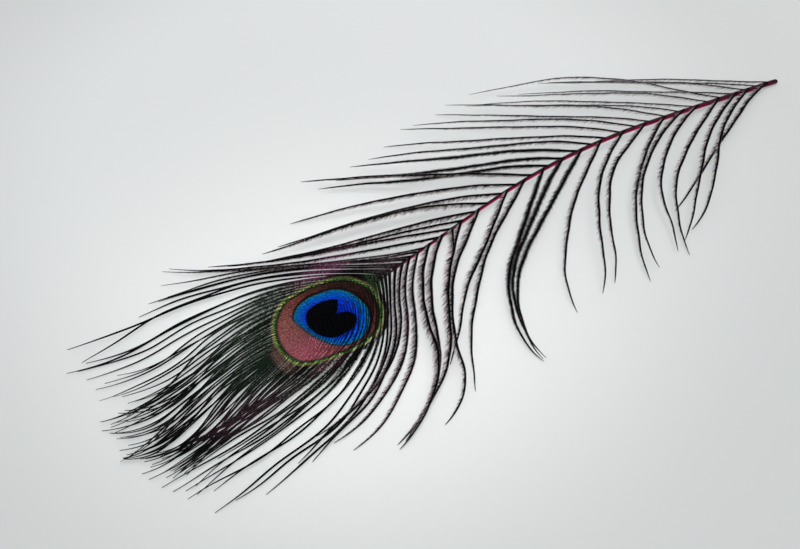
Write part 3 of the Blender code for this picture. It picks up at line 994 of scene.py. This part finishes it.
def eye_colour(tree, outward, colour, texture):
    """The eye's zones from its ring inwards, laid over the colour round it."""
    spot = add(tree, "ShaderNodeMapping", {
        "Vector": add(tree, "ShaderNodeTexCoord").outputs["Object"],
        "Location": (*[origin - middle for origin, middle in zip(ORIGIN_IN_LAYOUT, EYE_CENTRE)], 0.0),
        "Scale": (1 / MM, 1 / MM, 0.0),
    }, vector_type="POINT")
    colour = painted_gap_colour(tree, outward, glow_colour(tree, spot, colour, texture), texture)

    parts = add(tree, "ShaderNodeSeparateXYZ", [spot])
    angle = add(tree, MATH, [parts.outputs["Y"], parts.outputs["X"]], operation="ARCTAN2")
    turn = add(tree, MATH, [angle, 1 / math.tau, 0.5], operation="MULTIPLY_ADD")
    away = add(tree, "ShaderNodeVectorMath", [spot], operation="LENGTH").outputs["Value"]
    scaled = add(tree, MATH, [away, 1 / OUTLINE_REACH], operation="MULTIPLY")
    ragged = add(tree, MATH, [texture, 0.18, 0.91], operation="MULTIPLY_ADD")
    ragged_distance = add(tree, MATH, [scaled, ragged], operation="MULTIPLY")
    ring = zone_share(tree, turn, ragged_distance, RING, "AUTO_CLAMPED")
    blue = zone_share(tree, turn, scaled, BLUE, "AUTO_CLAMPED")
    heart = zone_share(tree, turn, scaled, HEART, "VECTOR")

    # The rim's ramp reads half the share, so that it reaches beyond the ring.
    half_ring = add(tree, MATH, [ring, 0.5], operation="MULTIPLY")
    rim_stops = [(share / 2, code) for share, code in RIM_COLOURS]
    rim = fill_stops(add(tree, "ShaderNodeValToRGB", [half_ring]), rim_stops)
    lake = fill_stops(add(tree, "ShaderNodeValToRGB", [blue]), BLUE_COLOURS)
    bronze = fill_stops(add(tree, "ShaderNodeValToRGB", [turn]), BRONZE_COLOURS)
    # The dark outline of the blue patch widens towards the quill and the upper side.
    upper = add(tree, "ShaderNodeVectorMath", [spot, (0.75, 0.66, 0.0)], operation="DOT_PRODUCT")
    outlined = add(tree, "ShaderNodeMapRange", [upper.outputs["Value"], -8.0, 12.0, 1.0, 1.06], **SMOOTH)
    halo = add(tree, MATH, [blue, outlined], operation="DIVIDE")
    # Each layer: the share it reads, where it begins to fade, over how much of the share, and its colour.
    layers = [
        (ring, 0.985, 0.04, rim),
        (ring, 0.88, 0.04, bronze),
        (halo, 1.0, 0.05, "#1c0e0e"),
        (blue, 0.985, 0.015, lake),
        (heart, 0.985, 0.025, "#020306"),
    ]
    for share, edge, blur, layer in layers:
        inside = add(tree, "ShaderNodeMapRange", [share, edge, edge + blur, 1.0, 0.0], **SMOOTH)
        colour = lay_over(tree, colour, [(inside, layer)])
    return colour


def barb_colour(tree, share, outward, tone, texture):
    """A barb away from the eye: black, browner or greener by turns, with a pale fringe and a green tip."""
    fringe, blush, bleach = [
        add(tree, "ShaderNodeAttribute", attribute_name=name).outputs["Fac"]
        for name in ("fringe", "blush", "bleach")
    ]
    open_part = add(tree, "ShaderNodeMapRange", [outward, 0.13, 0.4, 0.0, 1.0], **SMOOTH)
    strokes = add(tree, "ShaderNodeMapRange", [texture, 0.44, 0.58, 0.0, 1.0], **SMOOTH)
    pale = add(tree, MATH, [fringe, strokes], operation="MULTIPLY")
    tip = add(tree, "ShaderNodeMapRange", [share, 0.8, 1.0, 0.0, 0.7], **SMOOTH)
    stem = fill_stops(add(tree, "ShaderNodeValToRGB", [tone]), STEM_COLOURS)
    edge = lay_over(tree, "#100c0e", [(blush, "#46283a"), (pale, "#968989")])
    return lay_over(tree, stem, [(bleach, "#3e4c52"), (open_part, edge), (tip, "#18241f")])


def plumage(name, roughness, gloss):
    """Barbs and barbules: near-black keratin, dull as velvet, with the eye's structural colours."""
    values = {"Roughness": roughness, "IOR": KERATIN_IOR, "Specular IOR Level": gloss}
    material, tree, shader = new_material(name, values)
    share, across, barb, tone, stripe = [
        add(tree, "ShaderNodeAttribute", attribute_name=label).outputs["Fac"]
        for label in ("share", "across", "barb", "tone", "stripe")
    ]
    outward = add(tree, MATH, [across], operation="ABSOLUTE")
    # Barbules lie 0.1 mm apart, too fine to show, so they are drawn 0.6 mm apart and swept forward.
    along = add(tree, MATH, [outward, -0.008, share], operation="MULTIPLY_ADD")
    step = add(tree, MATH, [along, 150.0], operation="MULTIPLY")
    row = add(tree, MATH, [barb, 7.0, across], operation="MULTIPLY_ADD")
    cell = add(tree, "ShaderNodeCombineXYZ", [step, row])
    hatch = add(tree, "ShaderNodeTexNoise", {"Vector": cell, "Scale": 1.0, "Detail": 2.0}).outputs[0]
    colour = eye_colour(tree, outward, barb_colour(tree, share, outward, tone, hatch), hatch)
    # Painted shade darkens the stems, partly their own darker colour, and painted light brightens the
    # barbules between them.
    on_stem = add(tree, "ShaderNodeMapRange", [outward, 0.25, 0.6, 1.0, 0.0], **SMOOTH)
    contrast = add(tree, MATH, [on_stem, -1.4, 0.42], operation="MULTIPLY_ADD")
    lit = add(tree, MATH, [stripe, contrast, 1.0], operation="MULTIPLY_ADD")
    speckle = add(tree, "ShaderNodeMapRange", [hatch, 0.38, 0.62, 0.3, 1.85])
    value = add(tree, MATH, [speckle, lit], operation="MULTIPLY")
    shaded = add(tree, "ShaderNodeHueSaturation", {"Color": colour, "Value": value})
    tree.links.new(shaded.outputs["Color"], shader.inputs["Base Color"])
    return material


def dyed_keratin():
    """The shaft: keratin dyed crimson, satin, streaked with black, and black above and near the eye."""
    values = {"Roughness": 0.35, "IOR": KERATIN_IOR, "Specular IOR Level": 0.08}
    material, tree, shader = new_material("dyed keratin", values)
    share, across, upper = [
        add(tree, "ShaderNodeAttribute", attribute_name=name).outputs["Fac"]
        for name in ("share", "across", "upper")
    ]
    dye = fill_stops(add(tree, "ShaderNodeValToRGB", [share]), DYE_COLOURS)
    bared = fill_stops(add(tree, "ShaderNodeValToRGB", [share]), BLACK_SHARES)
    spot = add(tree, "ShaderNodeCombineXYZ", [share, across, upper])
    cell = add(tree, "ShaderNodeVectorMath", [spot, (40.0, 30.0, 2.5)], operation="MULTIPLY")
    grain = add(tree, "ShaderNodeTexNoise", {"Vector": cell, "Scale": 1.0, "Detail": 4.0}).outputs[0]
    streak = add(tree, "ShaderNodeMapRange", [grain, 0.38, 0.6, 0.4, 1.2], **SMOOTH)
    moved = add(tree, MATH, [share, -0.04, across], operation="MULTIPLY_ADD")
    ragged = add(tree, MATH, [grain, 0.14, moved], operation="MULTIPLY_ADD")
    black_side = add(tree, "ShaderNodeMapRange", [ragged, -0.05, -0.03, 0.0, 1.0], **SMOOTH)
    black = add(tree, MATH, [black_side, bared], operation="MULTIPLY")
    shaded = add(tree, "ShaderNodeHueSaturation", {
        "Color": lay_over(tree, dye, [(black, "#080506")]),
        "Value": streak,
    })
    tree.links.new(shaded.outputs["Color"], shader.inputs["Base Color"])
    return material


def glowing_table():
    """A matt pale table top that glows, most behind the feather: painted light that keeps the shadows faint
    and brightens the table round the eye.
    """
    material, tree, shader = new_material("glowing white table", {
        "Base Color": "#a9a9a7",
        "Emission Color": "#fafdfe",
        "Roughness": 0.7,
        "Specular IOR Level": 0.3,
    })
    where = add(tree, "ShaderNodeTexCoord").outputs["Object"]
    offset = add(tree, "ShaderNodeVectorMath", [where, place(*PAINTED_GLOW_CENTRE)], operation="SUBTRACT")
    away = add(tree, "ShaderNodeVectorMath", [offset], operation="LENGTH").outputs["Value"]
    # Painted light: the table's own glow, strongest round its centre and fainter towards its edges.
    glow = add(tree, "ShaderNodeMapRange", [away, 90 * MM, 190 * MM, 0.415, 0.297], **SMOOTH)
    tree.links.new(glow.outputs[0], shader.inputs["Emission Strength"])
    return material


# ---- Settings ----


def number_setting(name, description, default, **kind):
    return bpy.props.FloatProperty(name=name, description=description, default=default, **kind)


def length_setting(name, description, millimetres):
    return number_setting(name, description, millimetres * MM, unit="LENGTH")


def angle_setting(name, description, degrees):
    return number_setting(name, description, math.radians(degrees), subtype="ANGLE", unit="ROTATION")


class FEATHER_PG_barbs(bpy.types.PropertyGroup):
    """Sizes of the shaft, the barbs and the barbules."""
    shaft_sides: bpy.props.IntProperty(name="Shaft sides", description="Flats round it", default=20, min=8)
    pitch: length_setting("Fan pitch", "Distance along the shaft between the knitted barbs", 1.0)
    spacing: number_setting("Barbule spacing", "Factor on the distance between barbules", 1.0, min=0.3)
    barbule_width: length_setting("Barbule width", "Width of a barbule at its root", 0.18)
    seed: bpy.props.IntProperty(name="Seed", description="Start of the random draws", default=12, min=0)


class FEATHER_PG_eye(bpy.types.PropertyGroup):
    """Sizes of the knitted strips."""
    overlap: number_setting("Overlap", "Half width of a strip as a share of the gap to its neighbour", 0.62)
    widest: length_setting("Widest", "Largest half width of a strip", 0.95)
    parted: number_setting("Parted", "Half width as a share of the gap where the barbs have parted", 0.5)
    strand: length_setting("Strand", "Largest half width of a strip where the barbs have parted", 0.36)
    relief: number_setting("Relief", "Height of a strip's ridge as a share of its half width", 0.1)


class FEATHER_PG_stage(bpy.types.PropertyGroup):
    """View and light."""
    elevation: angle_setting("Elevation", "Angle of the view above the table", 50.0)
    azimuth: angle_setting("Azimuth", "Turn of the view about the vertical", -34.72)
    distance: length_setting("Distance", "From the camera to the point it looks at", 387.4)
    lens: number_setting("Lens", "Focal length in millimetres", 50.0)
    table: length_setting("Table", "Side of the square table top", 3000.0)
    daylight: number_setting("Daylight", "Strength of the even light", 0.74)


# ---- Operators ----


class FEATHER_OT_shaft(bpy.types.Operator):
    """Make the tapered, dyed shaft"""
    bl_idname = "feather.shaft"
    bl_label = "Shaft"

    def execute(self, context):
        line = []
        for station, x, y, z, radius, _ in sunk_shaft():
            line.append({"place": place(x, y, z), "stem": radius * MM, "share": station / FAN_TO})
        sides = context.scene.feather_barbs.shaft_sides
        grow("shaft", [line], shaft_tree(), {"Sides": sides, "Finish": dyed_keratin()})
        return {"FINISHED"}


class FEATHER_OT_loose_barbs(bpy.types.Operator):
    """Grow the single barbs along the bare part of the shaft"""
    bl_idname = "feather.loose_barbs"
    bl_label = "Loose barbs"

    def execute(self, context):
        settings = context.scene.feather_barbs
        chance = random.Random(settings.seed)
        shaft = measured_shaft()
        values = barb_values(settings, "loose barb keratin")
        tree = barb_tree()
        for label in SIDES:
            lines = barb_lines(loose_barbs(shaft, label, chance), label, LOOSE_STEM, chance)
            grow(f"loose_{label}", lines, tree, {**values, "Stem sides": 6})
        return {"FINISHED"}


class FEATHER_OT_fan(bpy.types.Operator):
    """Grow the fan of barbs that knit the eye and part beyond it"""
    bl_idname = "feather.fan"
    bl_label = "Fan"

    def execute(self, context):
        settings = context.scene.feather_barbs
        shaft = measured_shaft()
        values = barb_values(settings, "fan barb keratin")
        tree = barb_tree()
        for label in SIDES:
            barbs = fan_barbs(shaft, label, settings)
            lines = barb_lines(barbs, label, FAN_STEM, random.Random(settings.seed + 1))
            grow(f"fan_{label}", lines, tree, values)
        return {"FINISHED"}


class FEATHER_OT_eye(bpy.types.Operator):
    """Knit the fan's barbs together round the eye"""
    bl_idname = "feather.eye"
    bl_label = "Eye"

    def execute(self, context):
        settings = context.scene.feather_barbs
        strips = context.scene.feather_eye
        shaft = measured_shaft()
        tree = ribbon_tree()
        finish = plumage("knitted barbules", 0.65, 0.01)
        for label in SIDES:
            barbs = [barb for barb in fan_barbs(shaft, label, settings) if barb[0] > KNITTED_FULLY[0]]
            lines = ribbon_lines(barbs, strips, random.Random(settings.seed + 1))
            grow(f"vane_{label}", lines, tree, {"Relief": strips.relief, "Finish": finish})
        web = new_object("web", web_mesh("web"))
        web.data.materials.append(finish)
        settle(web)
        return {"FINISHED"}


class FEATHER_OT_stage(bpy.types.Operator):
    """Set out the table, the light and the camera"""
    bl_idname = "feather.stage"
    bl_label = "Stage"

    def execute(self, context):
        settings = context.scene.feather_stage
        lay_table(settings)
        hang_lights(context.scene, settings)
        set_camera(context.scene, settings)
        return {"FINISHED"}


def barb_values(settings, name):
    """What the barbs' tree is given, whichever barbs it grows."""
    return {
        "Barbule spacing": settings.spacing,
        "Barbule width": settings.barbule_width,
        "Seed": settings.seed,
        "Finish": plumage(name, 0.6, 0.03),
    }


def lay_table(settings):
    half = settings.table / 2
    plan = [(-half, -half), (half, -half), (half, half), (-half, half)]
    mesh = bpy.data.meshes.new("table")
    mesh.from_pydata([(x, y, TABLE_LEVEL * MM) for x, y in plan], [], [(0, 1, 2, 3)])
    mesh.materials.append(glowing_table())
    new_object("table", mesh)


def hang_lights(scene, settings):
    world = bpy.data.worlds.new("room")
    world.use_nodes = True
    room = world.node_tree.nodes["Background"].inputs
    room["Color"].default_value = linear("#eaeef0")
    room["Strength"].default_value = settings.daylight
    scene.world = world
    right = Vector((math.cos(settings.azimuth), math.sin(settings.azimuth), 0.0))
    away = Vector((-right.y, right.x, 0.0))
    up = Vector((0.0, 0.0, 1.0))
    for name, (spot, size, power, spread) in LIGHTS.items():
        lamp = bpy.data.lights.new(name, "AREA")
        lamp.shape = "DISK"
        lamp.size = size
        lamp.energy = power
        lamp.spread = math.radians(spread)
        light = new_object(name, lamp)
        offset = right * spot[0] + away * spot[1] + up * spot[2]
        light.location = Vector(place(*LOOKED_AT)) + offset
        # The broad light faces the point looked at, and the narrow one shines straight down.
        light.rotation_euler = (offset if spread > 90.0 else up).to_track_quat("Z", "Y").to_euler()
        light.visible_camera = False


def set_camera(scene, settings):
    turn, rise = settings.azimuth, settings.elevation
    back = Vector((math.sin(turn) * math.cos(rise), -math.cos(turn) * math.cos(rise), math.sin(rise)))
    lens = bpy.data.cameras.new("view")
    lens.lens = settings.lens
    lens.clip_start = 0.01
    camera = new_object("view", lens)
    camera.location = Vector(place(*LOOKED_AT)) + back * settings.distance
    camera.rotation_euler = back.to_track_quat("Z", "Y").to_euler()
    scene.camera = camera
    scene.view_settings.view_transform = "Standard"


class FEATHER_PT_panel(bpy.types.Panel):
    """Panel with the settings and the steps"""
    bl_idname = "FEATHER_PT_panel"
    bl_label = "Peacock feather"
    bl_space_type = "VIEW_3D"
    bl_region_type = "UI"
    bl_category = "Feather"

    def draw(self, context):
        for group in GROUPS:
            settings = getattr(context.scene, group)
            for name in settings.__annotations__:
                self.layout.prop(settings, name)
        for operator in OPERATORS:
            self.layout.operator(operator.bl_idname)


GROUPS = {
    "feather_barbs": FEATHER_PG_barbs,
    "feather_eye": FEATHER_PG_eye,
    "feather_stage": FEATHER_PG_stage,
}
OPERATORS = (FEATHER_OT_stage, FEATHER_OT_shaft, FEATHER_OT_loose_barbs, FEATHER_OT_fan, FEATHER_OT_eye)


def register():
    for group in (*GROUPS.values(), *OPERATORS, FEATHER_PT_panel):
        bpy.utils.register_class(group)
    for name, group in GROUPS.items():
        setattr(bpy.types.Scene, name, bpy.props.PointerProperty(type=group))


def unregister():
    for name in GROUPS:
        delattr(bpy.types.Scene, name)
    for group in (FEATHER_PT_panel, *reversed(OPERATORS), *GROUPS.values()):
        bpy.utils.unregister_class(group)


def main():
    register()
    bpy.ops.feather.stage()
    bpy.ops.feather.shaft()
    bpy.ops.feather.loose_barbs()
    bpy.ops.feather.fan()
    bpy.ops.feather.eye()


if __name__ == "__main__":
    main()
